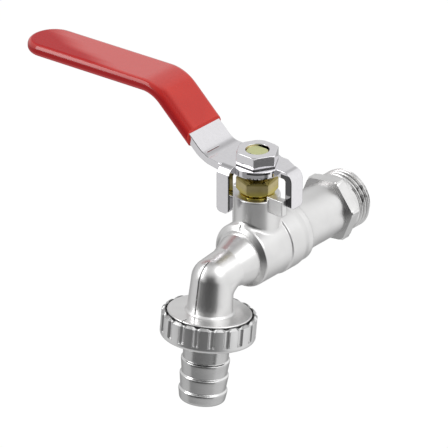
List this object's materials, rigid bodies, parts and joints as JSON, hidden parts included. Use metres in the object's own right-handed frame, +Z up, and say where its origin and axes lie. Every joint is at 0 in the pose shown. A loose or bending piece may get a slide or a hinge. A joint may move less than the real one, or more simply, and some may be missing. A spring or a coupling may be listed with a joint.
{
  "type": "hose tap",
  "caption": "Hose tap: ball valve with a bent strip lever and dipped grip, threaded inlet, downturned spout, and a grooved hand nut holding a barbed hose tail.",
  "frame": {"origin": "on the inlet thread's axis, where the thread starts behind the hexagon", "axes": "+Y along the inlet thread into the wall fitting, +Z up the valve stem; the spout points along -Y and the closed lever along -X"},
  "size_m": [0.1147, 0.0899, 0.0981],
  "materials": {
    "satin_nickel": "satin nickel plate",
    "grey_nickel": "dull nickel plate",
    "chrome": "bright plate",
    "brass": "machined",
    "red_vinyl": "dipped, semi-gloss",
    "ptfe": "smooth",
    "rubber": "matt"
  },
  "bodies": {
    "body": {"valve_body": "satin_nickel", "inlet_connector": "satin_nickel", "connector_seal": "rubber", "rear_seat": "ptfe", "front_seat": "ptfe", "thrust_washer": "ptfe", "lower_packing": "ptfe", "upper_packing": "ptfe", "gland_nut": "brass"},
    "lever": {"lever": "chrome", "grip": "red_vinyl", "handle_nut": "chrome", "stem": "brass", "ball": "chrome"},
    "tail": {"hose_tail": "grey_nickel", "tail_washer": "rubber"},
    "union_nut": {"union_nut": "grey_nickel"}
  },
  "joints": [
    {"name": "lever_turn", "type": "hinge", "parent": "body", "child": "lever", "pos_m": [0, -0.0401, 0], "axis": [0, 0, 1], "range_deg": [0, 90]},
    {"name": "tail_slide", "type": "slide", "parent": "body", "child": "tail", "axis": [0, -0.1271, -0.9919], "range_m": [0, 0.0036]},
    {"name": "union_turn", "type": "hinge", "parent": "tail", "child": "union_nut", "pos_m": [0, -0.0631, -0.0024], "axis": [0, -0.1271, -0.9919], "range_deg": [0, 714]}
  ],
  "couplings": [
    {"joint": "tail_slide", "follows": "union_turn", "m_per_rad": 0.00028871}
  ]
}
